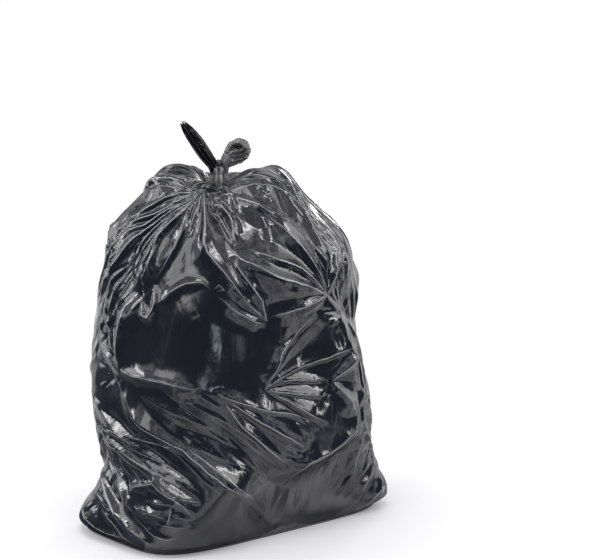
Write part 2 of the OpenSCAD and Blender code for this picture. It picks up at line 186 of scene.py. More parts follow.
# Creases that start in such a point and open out from it. Each has its height, the length of its flanks
# at the start and at its far end, and its line on the film
RAYS = {
    "gather 1": (7, 6, 16, [(217.5, 0.882), (180, 0.864), (163, 0.842), (148, 0.8)]),
    "gather 2": (7, 5, 12, [KNOT, (189, 0.823), (173, 0.757), (163, 0.7)]),
    "gather 3": (8, 5, 12, [KNOT, (206, 0.8), (176, 0.72), (166, 0.645)]),
    "gather 4": (8, 4, 11, [KNOT, (209, 0.785), (191, 0.705), (175, 0.6)]),
    "gather 5": (9, 5, 12, [KNOT, (205, 0.78), (180, 0.69), (167, 0.57)]),
    "gather 6": (7, 4, 11, [KNOT, (208, 0.78), (192, 0.685), (181, 0.6)]),
    "gather 7": (9, 5, 12, [KNOT, (211, 0.78), (198, 0.69), (188, 0.585)]),
    "gather 8": (10, 5, 12, [KNOT, (210, 0.77), (200, 0.7), (197, 0.64), (200.5, 0.6)]),
    "gather 9": (10, 4, 14, [KNOT, (212, 0.787), (211, 0.712), (209, 0.688), (200.5, 0.6)]),
    "gather 10": (7, 4, 8, [KNOT, (217, 0.78), (213, 0.724), (209, 0.69)]),
    "gather 11": (6, 4, 12, [KNOT, (218, 0.76), (216, 0.66)]),
    "gather 12": (7, 4, 10, [KNOT, (197, 0.8), (173, 0.738), (161, 0.67)]),
    "long crease from the knot": (11, 5, 18, [KNOT, (222, 0.746), (223, 0.678), (242, 0.55), (249, 0.525)]),
    "first pinch, ray 1": (9, 5, 20, [PINCH_1, (248, 0.32), (264, 0.3), (277, 0.265)]),
    "first pinch, ray 2": (9, 4, 14, [PINCH_1, (246, 0.29), (268, 0.22), (273, 0.19)]),
    "first pinch, ray 3": (9, 4, 14, [PINCH_1, (236, 0.29), (248, 0.23), (264, 0.165)]),
    "second pinch, ray 1": (8, 4, 16, [PINCH_2, (257, 0.38), (291, 0.36)]),
    "second pinch, ray 2": (9, 4, 20, [PINCH_2, (256, 0.386), (279, 0.408), (310, 0.437)]),
    "second pinch, ray 3": (9, 4, 20, [PINCH_2, (260, 0.45), (282, 0.53)]),
    "second pinch, ray 4": (8, 4, 12, [(248, 0.365), (260, 0.35), (288, 0.325)]),
    "second pinch, ray 5": (8, 4, 12, [(248, 0.365), (261, 0.33), (274, 0.29), (284, 0.265)]),
    "third pinch, upper ray": (9, 4, 18, [PINCH_3, (312, 0.435)]),
    "third pinch, lower ray": (9, 4, 16, [(290, 0.355), (295, 0.32), (303, 0.272)]),
    "leaf's tip, top edge": (11, 4, 20, [LEAF_TIP, (254, 0.61), (232, 0.672)]),
    "leaf's tip, upper fold": (10, 4, 16, [(287, 0.562), (268, 0.63), (255, 0.65), (238, 0.69)]),
    "leaf's tip, bottom edge": (10, 4, 16, [(287, 0.558), (259, 0.53), (251, 0.525)]),
    "leaf's tip, shoulder crease": (9, 4, 20, [(289, 0.565), (276, 0.66), (262, 0.74), (250, 0.8)]),
    "leaf's tip, far crease": (8, 4, 18, [(291, 0.565), (303, 0.65), (302, 0.75)]),
    "leaf's foot, left edge": (9, 4, 16, [LEAF_FOOT, (248, 0.56), (240, 0.61), (232, 0.67)]),
    "leaf's foot, inner fold": (7, 4, 12, [LEAF_FOOT, (238, 0.57), (228, 0.63)]),
    "left end, down": (10, 6, 22, [(190, 0.34), (196, 0.31), (214, 0.25), (228, 0.17), (242, 0.105)]),
    "left end, along the belly": (7, 5, 8, [(187, 0.405), (208, 0.395), (226, 0.37)]),
    "left end, up": (10, 6, 18, [(185, 0.41), (184, 0.46), (187, 0.53), (186, 0.59)]),
    "left end, back": (7, 5, 14, [(185, 0.4), (172, 0.45), (160, 0.54)]),
}

# Creases that fade out at both ends: height, length of the flanks, and the line on the film
RIDGES = {
    "gather's hooked end": (9, 5, [(201, 0.6), (202.5, 0.555), (200, 0.527), (197, 0.53), (195, 0.57)]),
    "smooth flank's edge": (9, 16, [(306, 0.268), (296, 0.229), (286, 0.199), (270, 0.181), (260, 0.13)]),
    "belly's top edge": (5, 6, [(200, 0.545), (206, 0.571), (213, 0.6), (221, 0.611), (228, 0.579)]),
    "small peak on the belly": (5, 3, [(226, 0.587), (230, 0.603), (232, 0.591), (227, 0.585)]),
    "tongue's lower edge": (7, 7, [(228, 0.579), (236, 0.543), (245, 0.515), (252, 0.508)]),
    "right end, upright 1": (7, 6, [(308, 0.727), (303, 0.67), (299, 0.643), (295, 0.6), (303, 0.555)]),
    "right end, upright 2": (6, 6, [(317, 0.674), (304, 0.623), (309, 0.567)]),
    "third pinch to the corner": (7, 8, [(303, 0.272), (313, 0.32), (316, 0.416)]),
    "right edge, line 1": (6, 6, [(306, 0.263), (320, 0.181), (331, 0.12)]),
    "right edge, line 2": (5, 6, [(311, 0.225), (311, 0.155), (310, 0.098)]),
    "right edge, line 3": (6, 6, [(328, 0.146), (316, 0.089), (313, 0.045)]),
    "lower left, line 1": (6, 5, [(160, 0.214), (186, 0.225), (199, 0.199), (206, 0.168)]),
    "lower left, line 2": (6, 5, [(180, 0.259), (195, 0.257), (208, 0.255), (219, 0.22)]),
    "lower left, line 3": (6, 5, [(190, 0.233), (204, 0.212), (210, 0.19), (220, 0.168)]),
    "lower left, line 4": (5, 5, [(166, 0.262), (184, 0.252), (199, 0.233)]),
    "foot's front, line 1": (5, 4, [(199, 0.08), (204, 0.062), (209, 0.049), (214, 0.058)]),
    "foot's front, line 2": (5, 4, [(210, 0.133), (211.5, 0.107), (210, 0.076)]),
    "foot's front, line 3": (4, 4, [(200, 0.124), (211, 0.129), (216, 0.12)]),
    "shoulder hump": (9, 18, [(236, 0.87), (258, 0.865), (280, 0.845), (298, 0.78)]),
    "shoulder hump, low": (8, 16, [(236, 0.84), (252, 0.8), (266, 0.735)]),
    "shoulder, right end": (8, 18, [(282, 0.85), (292, 0.78), (302, 0.7)]),
    "loop under the knot, outer": (10, 6, [(222, 0.812), (230, 0.807), (236, 0.765), (237, 0.68)]),
    "loop under the knot, inner": (8, 4, [(221, 0.785), (229, 0.776), (234, 0.727), (236, 0.685)]),
    "peak under the knot": (9, 10, [(230, 0.85), (238, 0.83), (240, 0.79)]),
    "right end crease": (8, 14, [(306, 0.53), (312, 0.46), (318, 0.4), (316, 0.33), (314, 0.27)]),
    "right end, high": (7, 12, [(312, 0.66), (310, 0.6), (314, 0.52)]),
    "left hump": (9, 16, [(150, 0.8), (172, 0.86), (196, 0.885), (212, 0.88)]),
    "left hump, inner": (7, 10, [(160, 0.84), (180, 0.85), (205, 0.865)]),
    "foot, steep fold": (7, 7, [(158, 0.17), (172, 0.13), (184, 0.09), (192, 0.05)]),
    "foot's bulge, left edge": (8, 7, [(178, 0.165), (188, 0.12), (190, 0.089), (198, 0.06)]),
    "foot's bulge, glint": (4, 7, [(194, 0.108), (204, 0.1), (214, 0.102), (221, 0.09)]),
    "foot's flap, line 1": (6, 6, [(172, 0.1), (190, 0.076), (200, 0.049), (208, 0.022)]),
    "foot's flap, line 2": (5, 6, [(160, 0.07), (170, 0.045), (187, 0.04), (200, 0.014)]),
    "foot's upper crinkle": (6, 5, [(206, 0.172), (211, 0.157), (215, 0.14), (222, 0.129)]),
    "slack by the foot 1": (6, 8, [(164, 0.225), (180, 0.22), (197, 0.19), (204, 0.155)]),
    "slack by the foot 2": (6, 7, [(172, 0.245), (190, 0.22), (208, 0.17)]),
    "slack by the foot 3": (7, 10, [(202, 0.3), (220, 0.22), (232, 0.17)]),
    "slack by the foot 4": (8, 7, [(189, 0.115), (191, 0.145), (203, 0.166), (213, 0.137), (220, 0.093)]),
    "slack by the foot 5": (8, 11, [(210, 0.28), (226, 0.2), (244, 0.1)]),
    "slack by the foot 6": (6, 7, [(196, 0.235), (212, 0.185), (222, 0.145)]),
    "foot's valley": (-12, 13, [(164, 0.155), (178, 0.12), (194, 0.076), (206, 0.045), (208, 0.012)]),
    "crease from packing": (2.6, 2, [(258, 0.53), (258, 0.47), (257, 0.36)]),
    "right shoulder's bright streak": (8, 11, [(262, 0.82), (268, 0.79), (283, 0.72), (290, 0.66)]),
    "left end's bright streak": (8, 12, [(168, 0.56), (172, 0.53), (180, 0.45), (184, 0.42)]),
    "foot's lip": (9, 14, [(158, 0.1), (168, 0.05), (182, 0.035), (194, 0.03)]),
    "foot's fold": (7, 8, [(176, 0.085), (188, 0.055), (198, 0.02)]),
    "right corner": (7, 9, [(314, 0.02), (324, 0.06), (329, 0.11)]),
    "right corner, back": (7, 9, [(329, 0.11), (331, 0.02)]),
    "right corner, low": (5, 6, [(318, 0.03), (328, 0.055)]),
}

# Broad folds under the creases: height, length of the flanks, lean of the flanks to the left of the
# line, and the line on the film
BROAD = {
    "from the left end to the foot": (27, 46, 0.45, [
        (184, 0.39), (190, 0.345), (203, 0.28), (218, 0.21), (236, 0.12), (250, 0.07),
    ]),
    "under the belly": (8, 30, 0.3, [(190, 0.4), (212, 0.385), (236, 0.345), (252, 0.3), (262, 0.24)]),
    "above the smooth flank": (20, 42, 0.45, [
        (240, 0.13), (262, 0.17), (285, 0.19), (303, 0.235), (320, 0.29),
    ]),
    "low fold over the foot": (19, 30, 0.4, [(160, 0.26), (182, 0.235), (204, 0.18), (220, 0.1)]),
    "lip of the foot": (12, 22, 0.3, [(158, 0.13), (176, 0.1), (192, 0.07), (206, 0.02)]),
    "between pinch and corner": (10, 24, 0.2, [(232, 0.36), (250, 0.3), (272, 0.225), (284, 0.2)]),
    "right end": (12, 30, 0, [(289, 0.56), (300, 0.47), (303, 0.36), (312, 0.28)]),
    "leaf": (15, 32, -0.2, [LEAF_TIP, (262, 0.575), (240, 0.64), (226, 0.74)]),
    "under the leaf": (12, 26, 0.2, [(252, 0.52), (236, 0.6), (226, 0.7), (222, 0.8)]),
    "left gathers' edge": (14, 34, 0, [(170, 0.86), (166, 0.72), (174, 0.6), (184, 0.52), (187, 0.43)]),
    "gathers' middle": (13, 30, 0, [(212, 0.84), (202, 0.72), (196, 0.62), (198, 0.55)]),
    "left shoulder": (14, 26, 0, [(212, 0.9), (182, 0.885), (158, 0.84), (140, 0.78)]),
    "right shoulder": (15, 28, 0, [(238, 0.9), (262, 0.885), (284, 0.86), (302, 0.8), (316, 0.72)]),
    "right shoulder, front": (12, 28, 0, [(240, 0.84), (262, 0.77), (284, 0.68), (298, 0.58)]),
    "belly's right edge": (9, 30, 0, [(264, 0.53), (258, 0.46), (250, 0.38)]),
    "hollow beside the leaf": (-9, 24, 0, [(276, 0.5), (262, 0.47), (250, 0.44)]),
    "hollow under the knot": (-12, 22, 0, [(228, 0.8), (232, 0.74), (246, 0.7)]),
    "hollow on the left": (-10, 24, 0, [(186, 0.72), (180, 0.62), (178, 0.5)]),
    "hollow in the left shoulder": (-10, 24, 0, [(208, 0.85), (190, 0.79), (176, 0.7)]),
    "hollow in the right shoulder": (-12, 22, 0, [(270, 0.8), (284, 0.73), (294, 0.64)]),
    "hollow at the right end": (-10, 24, 0, [(300, 0.6), (310, 0.52), (308, 0.42)]),
}

# Fans of fine creases: centre, from angle, to angle, from radius, to radius, count, height, flank
FANS = {
    "from the knot to the left": (KNOT, 165, 262, 6, 170, 40, 2.4, 3.5),
    "from the knot, long": (KNOT, 196, 262, 20, 270, 36, 2.8, 4.5),
    "from the knot to the right": ((232, 0.87), 282, 372, 6, 120, 24, 2.6, 5),
    "first pinch": (PINCH_1, 296, 352, 4, 120, 14, 2.0, 4),
    "first pinch, left": (PINCH_1, 150, 200, 8, 90, 6, 1.2, 5),
    "second pinch": (PINCH_2, 300, 410, 4, 130, 16, 2.0, 4),
    "leaf's tip": (LEAF_TIP, 150, 215, 4, 110, 12, 1.8, 4),
    "leaf's foot": ((250, 0.522), 80, 180, 3, 60, 8, 1.8, 4),
    "third pinch": (PINCH_3, 200, 420, 4, 80, 12, 1.8, 4),
    "below the third": ((270, 0.185), 60, 170, 3, 60, 14, 2.0, 4),
    "left end": ((186, 0.4), 100, 260, 4, 90, 12, 1.6, 4),
    "left hook": ((198, 0.535), 40, 120, 3, 70, 8, 1.8, 4),
    "glint on the belly": ((220, 0.52), 0, 360, 2, 16, 7, 1.2, 2.5),
    "small star on the belly": ((258, 0.47), 0, 360, 1, 12, 6, 0.9, 2),
    "under the knot": ((226, 0.84), 215, 300, 8, 90, 18, 3.4, 4.5),
    "right shoulder's corner": ((284, 0.85), 180, 330, 4, 110, 18, 3.2, 5),
    "right end": ((304, 0.52), 0, 360, 3, 90, 18, 3.0, 5),
}

# Patches of nearly parallel fine creases: centre, half widths, angle, spread, count, length, height, flank
PATCHES = {
    "left flank, running down": ((174, 0.62), (15, 0.12), 240, 9, 54, 120, 4.0, 5),
    "lower left, running down right": ((188, 0.22), (18, 0.045), 332, 9, 50, 100, 3.8, 4.5),
    "foot on the left": ((188, 0.09), (18, 0.05), 338, 20, 34, 56, 3.0, 4.5),
    "between the long creases": ((226, 0.25), (24, 0.08), 316, 6, 40, 150, 2.6, 5),
    "lower front": ((266, 0.1), (34, 0.07), 72, 10, 40, 120, 1.5, 9),
    "right edge": ((318, 0.22), (12, 0.16), 62, 16, 60, 80, 3.0, 4.5),
    "right edge, high": ((308, 0.58), (14, 0.12), 82, 16, 44, 90, 3.4, 5),
    "right shoulder": ((286, 0.72), (22, 0.08), 300, 14, 36, 110, 2.8, 6),
    "top right": ((262, 0.83), (22, 0.04), 330, 30, 24, 60, 3.0, 6),
    "belly": ((218, 0.48), (26, 0.09), 262, 8, 16, 120, 0.8, 9),
    "far end": ((352, 0.45), (28, 0.3), 275, 30, 80, 130, 4.0, 10),
    "far end, fine": ((352, 0.4), (28, 0.35), 275, 40, 70, 60, 2.0, 5),
    "back, middle": ((60, 0.5), (60, 0.28), 275, 34, 90, 150, 5.0, 12),
    "back, fine": ((70, 0.45), (80, 0.35), 280, 45, 150, 60, 2.0, 6),
    "back, low": ((80, 0.14), (90, 0.08), 310, 50, 80, 100, 3.5, 8),
    "back, left": ((126, 0.4), (26, 0.3), 262, 28, 60, 130, 4.0, 9),
}

# How the drawn heights and flanks of rays and ridges are stretched
RAY_HEIGHT = 1.15
RAY_SPREAD = 1.4
RIDGE_SPREAD = 1.2

# The rays with a groove below their crest: how far below it runs at its far end, its depth as a share of
# the crest's height, and its flanks
GROOVED = ("gather", "first pinch", "second pinch", "left end, down")
GROOVE_OFFSET = 9
GROOVE_DEPTH = 0.6
GROOVE_FLANKS = (2.5, 6)

# Patches with longer flanks than this are too soft to get painted highlight lines on their crests
SOFT_FLANK = 9

# Pleats all round the neck, shorter where the photographed gathers are
NECK_PLEATS = 54
NECK_FRONT = 222


def flat(point):
    return np.array([point[0] * MM_PER_DEGREE, point[1] * FILM_WAY])


def along(line, spacing):
    """Points along a line of film places, with the share of its length at each."""
    corners = np.array([flat(p) for p in line])
    steps = np.hypot(*np.diff(corners, axis=0).T)
    way = np.concatenate([[0], np.cumsum(steps)])
    count = max(3, int(way[-1] / spacing) + 1)
    at = np.linspace(0, way[-1], count)
    return np.stack([np.interp(at, way, corners[:, 0]), np.interp(at, way, corners[:, 1])], 1), at / way[-1]


def bowed_line(hub, angle, start, end, bow):
    """Points from start to end on a way out from the hub, bowed sideways by a share of their length."""
    way = np.array([np.cos(np.radians(angle)), np.sin(np.radians(angle))])
    side = np.array([-way[1], way[0]]) * (end - start) * bow
    share = np.linspace(0, 1, 4)
    points = hub + np.outer(start + (end - start) * share, way) + np.outer(4 * share * (1 - share), side)
    return points, share


def crease_list():
    """All sharp creases, each as (points, heights, flanks, lean), and those of them that get painted
    highlight lines on their crests.
    """
    rng = np.random.default_rng(21)
    creases = []

    # A ray rises quickly from its start and fades out beyond its middle; a ridge fades out at both ends
    def ray(points, share, height, flank_near, flank_far):
        rise = (0.35 + 0.65 * smooth(share / 0.22)) * (1 - 0.9 * smooth((share - 0.55) / 0.45))
        creases.append((points, height * rise, flank_near + (flank_far - flank_near) * share, 0))

    def ridge(points, share, height, flank):
        rise = smooth(np.minimum(share, 1 - share) / 0.3)
        creases.append((points, height * (0.12 + 0.88 * rise), flank * (0.6 + 0.4 * rise), 0))

    for name, (height, near, far, line) in RAYS.items():
        points, share = along(line, 14)
        points[1:-1] += rng.normal(0, 0.4, (len(points) - 2, 2))
        ray(points, share, RAY_HEIGHT * height, near, RAY_SPREAD * far)
        if name.startswith(GROOVED):
            run = np.gradient(points, axis=0)
            below = np.stack([-run[:, 1], run[:, 0]], 1) / np.hypot(*run.T)[:, None]
            below *= np.sign(points[0, 0] - points[-1, 0])
            groove = points + below * (GROOVE_OFFSET * share ** 0.6)[:, None]
            ray(groove, share, -GROOVE_DEPTH * height, *GROOVE_FLANKS)
    for height, flank, line in RIDGES.values():
        points, share = along(line, 12)
        points[1:-1] += rng.normal(0, 0.8, (len(points) - 2, 2))
        ridge(points, share, height, RIDGE_SPREAD * flank)
    for centre, angle_from, angle_to, near, far, count, height, flank in FANS.values():
        for k in range(count):
            angle = angle_from + (angle_to - angle_from) * (k + rng.uniform(0, 1)) / count
            start = near * rng.uniform(0.5, 3)
            end = start + (far - start) * rng.uniform(0.3, 1)
            points, share = bowed_line(flat(centre), angle, start, end, rng.uniform(-0.06, 0.06))
            sign = either_way(rng, 0.55)
            size = rng.uniform(0.4, 1.25)
            ray(points, share, sign * height * size, flank * 0.5, flank * (0.6 + size))
    # These creases, and below them the sharper patches and the neck pleats, get painted highlight lines on
    # their crests
    pale = list(creases)
    for centre, half, angle_mid, spread, count, length, height, flank in PATCHES.values():
        for _ in range(count):
            hub = flat((centre[0] + half[0] * rng.normal(0, 0.6), centre[1] + half[1] * rng.normal(0, 0.6)))
            angle = angle_mid + spread * rng.normal(0, 0.7)
            size = rng.uniform(0.3, 1.25)
            reach = length * size
            points, share = bowed_line(hub, angle, -reach / 2, reach / 2, rng.uniform(-0.07, 0.07))
            ridge(points, share, either_way(rng, 0.55) * height * size, flank * (0.5 + 0.6 * size))
            if flank < SOFT_FLANK:
                pale.append(creases[-1])
    for k in range(NECK_PLEATS):
        azimuth = (k + rng.uniform(0, 1)) * 360 / NECK_PLEATS
        drop = rng.uniform(0.14, 0.5)
        if abs(wrap(azimuth - NECK_FRONT)) < 55:
            drop *= 0.45
        points, share = along([(azimuth, 1), (azimuth + rng.uniform(-8, 8), 1 - drop)], 40)
        ray(points, share, rng.uniform(2, 8) * (1 if rng.random() < 0.7 else -0.8), 7, 20)
        pale.append(creases[-1])
    return creases, pale


def broad_folds():
    """The folds that the part's solid has too: those that show, those behind, and the long gathers."""
    lines = list(BROAD.values())
    for k in range(1, BACK_FOLDS + 1):
        azimuth = 330 + 185 * even(k, 0)
        up = 0.08 + 0.77 * even(k, 1)
        turn = 24 * np.sin(np.radians(97 * k))
        height = 8 + 9 * even(k, 2)
        flank = 20 + 14 * even(k, 3)
        middle = (azimuth + 4 * np.cos(np.radians(71 * k)), up)
        line = [(azimuth - turn, up - 0.13), middle, (azimuth + turn, up + 0.13)]
        lines.append((height, flank, 0.4 * np.sin(np.radians(61 * k)), line))
    for k in range(1, LONG_GATHERS + 1):
        azimuth = FACE_AZIMUTH + (k + 0.5 * even(k, 0)) * 360 / LONG_GATHERS
        reach = 0.2 + 0.22 * even(k, 1)
        lines.append((7, 12, 0, [(azimuth, 1), (azimuth + 8 * even(k, 2) - 4, 1 - reach)]))
    folds = []
    for height, flank, lean, line in lines:
        points, share = along(line, 12)
        rise = smooth(np.minimum(share, 1 - share) / 0.3)
        folds.append((points, height * rise, flank * (0.7 + 0.3 * rise), lean))
    return folds


def near_segment(u, v, start, end):
    """How far points lie from a segment, minus at its right, and the share of it nearest to each."""
    run = end - start
    size = max(run @ run, 1e-9)
    x = u - start[0]
    y = v - start[1]
    share = np.clip((x * run[0] + y * run[1]) / size, 0, 1)
    away = np.hypot(x - share * run[0], y - share * run[1])
    return np.where(run[0] * y - run[1] * x < 0, -away, away), share


def crest(away, flank, radius):
    """A ridge's height from 1 at its line, rounded by a small radius and hollow on its flanks."""
    return np.exp(-(np.hypot(away, radius) - radius) / flank)


def windows(start, end, reach):
    """Slices of the grid near a segment, with the turn that brings it there."""
    low = np.minimum(start, end) - reach
    high = np.maximum(start, end) + reach
    r0, r1 = np.searchsorted(row_v, [low[1], high[1]])
    for shift in (-TURN, 0, TURN):
        c0, c1 = np.searchsorted(column_u, [low[0] + shift, high[0] + shift])
        if r0 < r1 and c0 < c1:
            yield slice(r0, r1), slice(c0, c1), np.array([shift, 0.0])


def crease_field(u, v, creases, radius):
    """Height of the creased film over the contents; each crease is (points, heights, flanks, lean)."""
    ridges = np.zeros(u.shape)
    valleys = np.zeros(u.shape)
    for points, heights, flanks, lean in creases:
        rising = heights[np.argmax(np.abs(heights))] > 0
        for k in range(len(points) - 1):
            reach = 3.2 * max(flanks[k], flanks[k + 1]) * (1 + abs(lean))
            for r, c, shift in windows(points[k], points[k + 1], reach):
                away, share = near_segment(u[r, c], v[r, c], points[k] + shift, points[k + 1] + shift)
                height = heights[k] + (heights[k + 1] - heights[k]) * share
                flank = flanks[k] + (flanks[k + 1] - flanks[k]) * share
                flank = flank * (1 + lean * np.sign(away))
                value = height * crest(away, flank, radius)
                if rising:
                    ridges[r, c] = np.maximum(ridges[r, c], value)
                else:
                    valleys[r, c] = np.minimum(valleys[r, c], value)
    return ridges + valleys


# The painted highlight lines on crests, in mm: how far from a crest they are worked out, the height where
# they start to show, how wide they stay full and then fade, and the same for the space that a higher crest
# keeps clear
CREST_WINDOW = 9.0
CREST_FROM = 1.5
LINE_FULL = 1.6
LINE_FADE = 1.2
CLEAR_FULL = 4
CLEAR_FADE = 3.5


def crest_highlight_lines(u, v, creases):
    """For each place, the signed way to the crest beside it, and how strongly that crest's painted
    highlight line shows.

    The highest crests come first, and a lower one fades out where it runs close beside a higher one.
    """
    way = np.full(u.shape, CREST_WINDOW)
    strength = np.zeros(u.shape)
    taken = np.zeros(u.shape)
    for points, heights, _, _ in sorted(creases, key=lambda crease: -crease[1].max()):
        beside = []
        for k in range(len(points) - 1):
            for r, c, shift in windows(points[k], points[k + 1], CREST_WINDOW):
                away, share = near_segment(u[r, c], v[r, c], points[k] + shift, points[k + 1] + shift)
                height = heights[k] + (heights[k + 1] - heights[k]) * share - CREST_FROM
                near = 1 - smooth((np.abs(away) - LINE_FULL) / LINE_FADE)
                here = np.clip(height / 6, 0, 1) * near * (1 - taken[r, c])
                way[r, c] = np.where(here > strength[r, c], away, way[r, c])
                strength[r, c] = np.maximum(strength[r, c], here)
                wider = 1 - smooth((np.abs(away) - CLEAR_FULL) / CLEAR_FADE)
                beside.append((r, c, np.clip(height / 3, 0, 1) * wider))
        for r, c, near in beside:
            taken[r, c] = np.maximum(taken[r, c], near)
    return way, strength


def swells(u, v):
    """Slow rises and hollows of the loosely filled sack."""
    field = np.zeros(u.shape)
    for k in range(1, SWELLS + 1):
        turns = 1 + k % 8
        pitch = 10 * even(k, 0) - 5
        size = SWELL_SIZE / (2 + turns + abs(pitch))
        phase = 360 * even(k, 1)
        field += size * np.cos(np.radians(360 * (turns * u / TURN + pitch * v / FILM_WAY) + phase))
    return field


def film_points(u, v, creases):
    """Places of the grid's points in the part's frame, pushed out along the film's facing."""
    azimuth = u / MM_PER_DEGREE
    up = np.clip(v / FILM_WAY, 0, 1)
    a = np.radians(azimuth)
    c = np.cos(a)
    d = np.sin(a)
    here, above, below = (section((up + step).ravel()).reshape(*up.shape, 7) for step in (0, 0.01, -0.01))
    rise = above[..., 0] - below[..., 0]
    spread = (above[..., 1] + above[..., 2] - below[..., 1] - below[..., 2]) / 2
    size = np.hypot(rise, spread)
    outward = rise / size
    upward = -spread / size
    girth = (here[..., 1] + here[..., 2]) / 2
    push = np.zeros(up.shape)
    for lump_azimuth, lump_up, height, half_width, half_height in LUMPS:
        x = wrap(lump_azimuth - azimuth) * girth * np.pi / 180 / half_width
        y = (lump_up - up) * FILM_WAY / half_height
        push += height * np.exp(-x * x - y * y)
    push -= SLACK
    relief = swells(u, v) + crease_field(u, v, broad_folds(), 3) + crease_field(u, v, creases, 1)
    push += relief * np.clip(girth / 140, 0, 1) ** 0.8
    push *= smooth(up / 0.04) * smooth((1 - up) / 0.02)
    power = here[..., 3]
    r = ((np.abs(c) / here[..., 1]) ** power + (np.abs(d) / here[..., 2]) ** power) ** (-1 / power)
    sag = here[..., 6] * CROWN_SADDLE * np.cos(a - np.radians(FACE_AZIMUTH)) ** 2
    x = here[..., 4] + (r + push * outward) * c
    y = here[..., 5] + (r + push * outward) * d
    z = np.maximum(here[..., 0] - sag + push * upward, 0)
    return np.stack([x, y, z], -1) - MIDDLE


def sharp_faces(points):
    """Triangles of the grid, each square halved along its prouder diagonal so that crests stay sharp."""
    index = np.arange(ROWS * COLUMNS).reshape(ROWS, COLUMNS)
    a = index[:-1]
    b = np.roll(index, -1, 1)[:-1]
    c = index[1:]
    d = np.roll(index, -1, 1)[1:]
    flat_points = points.reshape(-1, 3)
    axis = np.array([0, 0, 250.0]) - MIDDLE
    pa, pb, pc, pd = (flat_points[k] - axis for k in (a, b, c, d))
    facing = np.cross(pb - pc, pd - pa)
    facing /= np.linalg.norm(facing, axis=-1, keepdims=True) + 1e-9
    mids = ((pa + pd - pb - pc) * facing).sum(-1)
    outside = np.sign((facing * (pa + pd)).sum(-1))
    rising = mids * outside > 0
    first = np.where(rising[..., None], np.stack([a, b, d], -1), np.stack([a, b, c], -1))
    second = np.where(rising[..., None], np.stack([a, d, c], -1), np.stack([b, d, c], -1))
    faces = np.concatenate([first.reshape(-1, 3), second.reshape(-1, 3)]).tolist()
    faces.append(index[0, ::-1].tolist())
    faces.append(index[-1].tolist())
    return faces


def new_object(name, points, faces, material):
    mesh = bpy.data.meshes.new(name)
    mesh.from_pydata((np.asarray(points) / 1000).tolist(), [], faces)
    mesh.validate()
    mesh.polygons.foreach_set("use_smooth", [True] * len(mesh.polygons))
    mesh.materials.append(material)
    mesh.update()
    obj = bpy.data.objects.new(name, mesh)
    bpy.context.scene.collection.objects.link(obj)
    return obj


def new_material(name):
    """A material with its node tree and shader."""
    material = bpy.data.materials.new(name)
    material.use_nodes = True
    return material, material.node_tree, material.node_tree.nodes["Principled BSDF"]


def set_sockets(tree, node, sockets):
    """Gives each named or numbered socket of a node its value, or links it to another node's socket."""
    for key, value in sockets.items():
        if isinstance(value, bpy.types.NodeSocket):
            tree.links.new(value, node.inputs[key])
        else:
            node.inputs[key].default_value = value


def add_node(tree, kind, result, sockets=None, **settings):
    """Adds a shader node with its settings and sockets, and gives the output named by result."""
    node = tree.nodes.new("ShaderNode" + kind)
    for key, value in settings.items():
        setattr(node, key, value)
    set_sockets(tree, node, sockets or {})
    return node.outputs[result]


def mix_surface(tree, output, share, first, second):
    """Gives a tree's output its first shader where the share is 0 and its second where it is 1."""
    mix = add_node(tree, "MixShader", "Shader", {"Fac": share, 1: first, 2: second})
    tree.links.new(mix, tree.nodes[output].inputs["Surface"])


FILM_COLOUR = (0.0095, 0.0105, 0.0155)


def film_material(name, colour, gloss_from, gloss_to):
    """Glossy black polythene with faint crinkles and uneven gloss."""
    material, tree, shader = new_material(name)
    place = add_node(tree, "TexCoord", "Object")
    drawn = add_node(tree, "Mapping", "Vector", {"Vector": place, "Scale": (1, 1, 0.45)})
    fine = {"Vector": drawn, "Scale": 60, "Detail": 6, "Distortion": 0.8}
    crinkle = add_node(tree, "TexNoise", "Fac", fine)
    bump = add_node(tree, "Bump", "Normal", {"Height": crinkle, "Strength": 0.5, "Distance": 0.0012})
    gloss = add_node(tree, "TexNoise", "Fac", {"Vector": place, "Scale": 14, "Detail": 3})
    rough = add_node(tree, "MapRange", "Result", {"Value": gloss, "To Min": gloss_from, "To Max": gloss_to})
    set_sockets(tree, shader, {"Base Color": (*colour, 1), "IOR": 1.95, "Normal": bump, "Roughness": rough})
    return material


def paint_crest_highlights(material, colour, half_width):
    """Paints fine pale lines along the film's sharp crests: painted highlights where the crests would catch
    the lamps.
    """
    tree = material.node_tree
    shader = tree.nodes["Principled BSDF"]
    film_colour = tuple(shader.inputs["Base Color"].default_value)
    way = add_node(tree, "Attribute", "Fac", attribute_name="crest_way")
    strength = add_node(tree, "Attribute", "Fac", attribute_name="crest_highlight_strength")
    away = add_node(tree, "Math", "Value", {0: way}, operation="ABSOLUTE")
    fading = {"Value": away, "From Max": half_width, "To Min": 1, "To Max": 0}
    near = add_node(tree, "MapRange", "Result", fading, interpolation_type="SMOOTHSTEP")
    line = add_node(tree, "Math", "Value", {0: near, 1: strength}, operation="MULTIPLY")
    colours = {"Factor": line, "A": film_colour, "B": (*colour, 1)}
    set_sockets(tree, shader, {"Base Color": add_node(tree, "Mix", "Result", colours, data_type="RGBA")})


black_film = film_material("black_film", FILM_COLOUR, 0.08, 0.19)
creased_film_painted_highlights = film_material("creased_film_painted_highlights", FILM_COLOUR, 0.08, 0.19)
# The creased film gets pale bluish lines along its crests: painted highlights mixed into its black.
paint_crest_highlights(creased_film_painted_highlights, (0.36, 0.37, 0.4), 1.15)
# The gathered film's much lighter colour is painted sheen, standing in for the light that its fine crumples
# scatter; its higher roughness is real.
gathered_film_painted_sheen = film_material("gathered_film_painted_sheen", (0.1, 0.102, 0.1), 0.24, 0.38)


